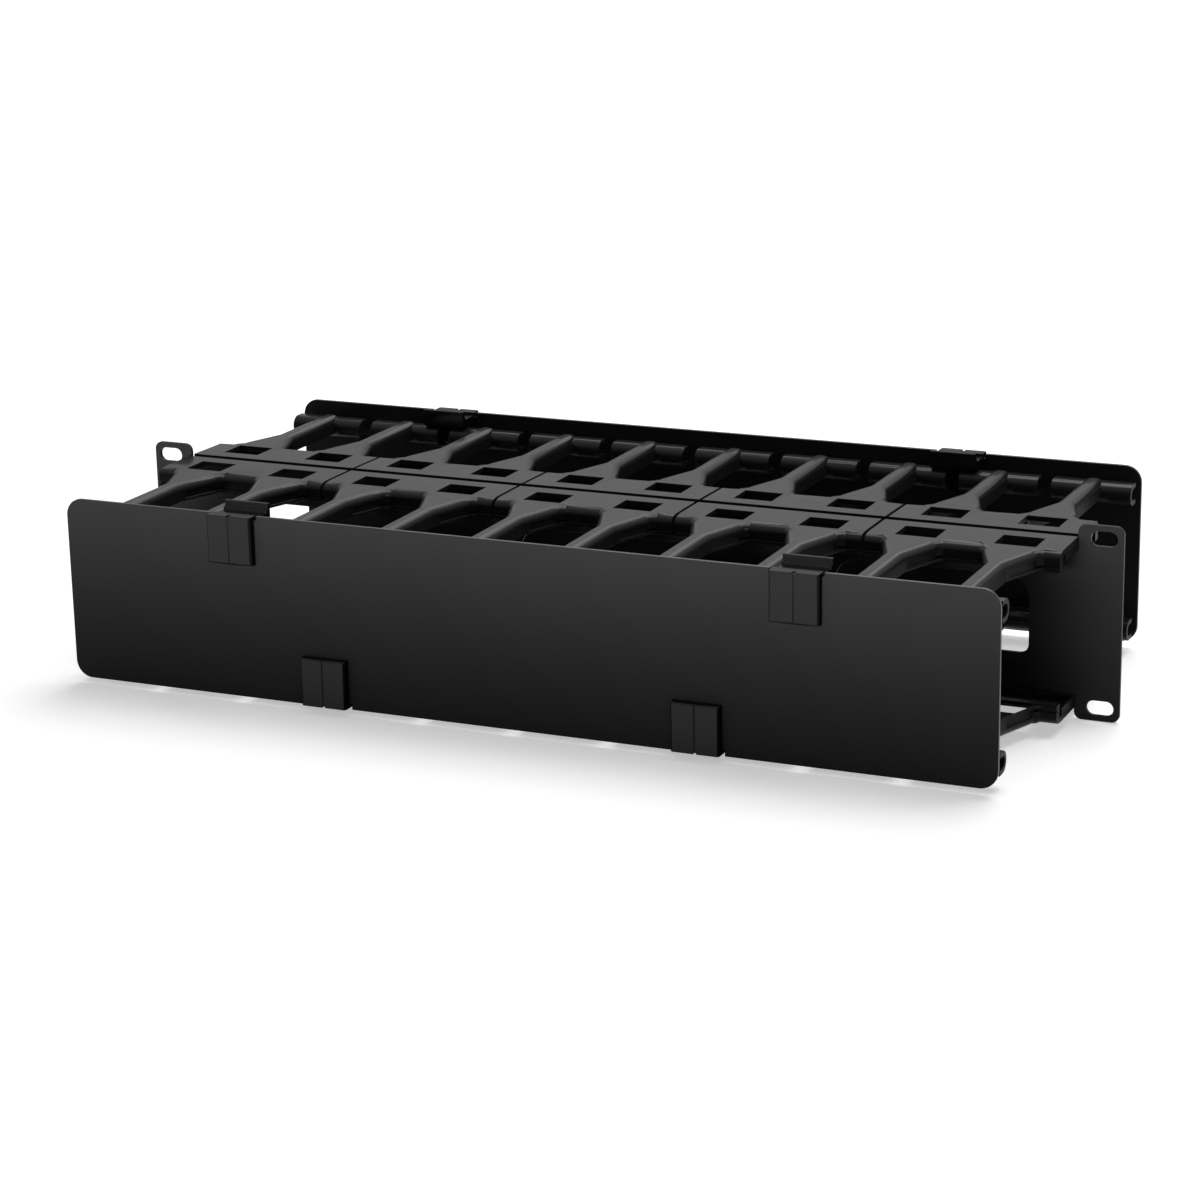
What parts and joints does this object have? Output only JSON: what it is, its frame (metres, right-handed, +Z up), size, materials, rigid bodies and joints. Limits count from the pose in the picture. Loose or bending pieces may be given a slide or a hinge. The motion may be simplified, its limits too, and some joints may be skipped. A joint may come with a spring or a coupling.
{
  "type": "horizontal cable manager",
  "caption": "Two-unit horizontal rack cable manager with slotted finger ducts in front of and behind a steel panel, each closed by a flat clip-on cover that swings on its clips.",
  "frame": {"origin": "centre of the panel's back face, the one that is drawn up against the rack rails, in the middle of the four rack slots", "axes": "+X to the right seen from the front, +Y from the front duct to the rear duct, +Z up"},
  "size_m": [0.4826, 0.2308, 0.0905],
  "materials": {
    "panel_steel": "satin black powder coat",
    "finger_plastic": "black moulded plastic with a fine grain",
    "cover_steel": "satin black powder coat",
    "clip_plastic": "black moulded plastic with a fine grain"
  },
  "bodies": {
    "frame": {"rack_panel": "panel_steel", "front_top_fingers_1": "finger_plastic", "front_top_fingers_2": "finger_plastic", "front_top_fingers_3": "finger_plastic", "front_top_fingers_4": "finger_plastic", "front_top_fingers_5": "finger_plastic", "front_bottom_fingers_1": "finger_plastic", "front_bottom_fingers_2": "finger_plastic", "front_bottom_fingers_3": "finger_plastic", "front_bottom_fingers_4": "finger_plastic", "front_bottom_fingers_5": "finger_plastic", "rear_top_fingers_1": "finger_plastic", "rear_top_fingers_2": "finger_plastic", "rear_top_fingers_3": "finger_plastic", "rear_top_fingers_4": "finger_plastic", "rear_top_fingers_5": "finger_plastic", "rear_bottom_fingers_1": "finger_plastic", "rear_bottom_fingers_2": "finger_plastic", "rear_bottom_fingers_3": "finger_plastic", "rear_bottom_fingers_4": "finger_plastic", "rear_bottom_fingers_5": "finger_plastic"},
    "front_door": {"front_cover": "cover_steel", "front_top_left_clip": "clip_plastic", "front_top_right_clip": "clip_plastic", "front_bottom_left_clip": "clip_plastic", "front_bottom_right_clip": "clip_plastic"},
    "rear_door": {"rear_cover": "cover_steel", "rear_top_left_clip": "clip_plastic", "rear_top_right_clip": "clip_plastic", "rear_bottom_left_clip": "clip_plastic", "rear_bottom_right_clip": "clip_plastic"}
  },
  "joints": [
    {"name": "front_cover_hinge", "type": "hinge", "parent": "frame", "child": "front_door", "pos_m": [0, -0.1012, 0.0324], "axis": [-1, 0, 0], "range_deg": [0, 100]},
    {"name": "rear_cover_hinge", "type": "hinge", "parent": "frame", "child": "rear_door", "pos_m": [0, 0.0992, 0.0324], "axis": [1, 0, 0], "range_deg": [0, 100]}
  ]
}
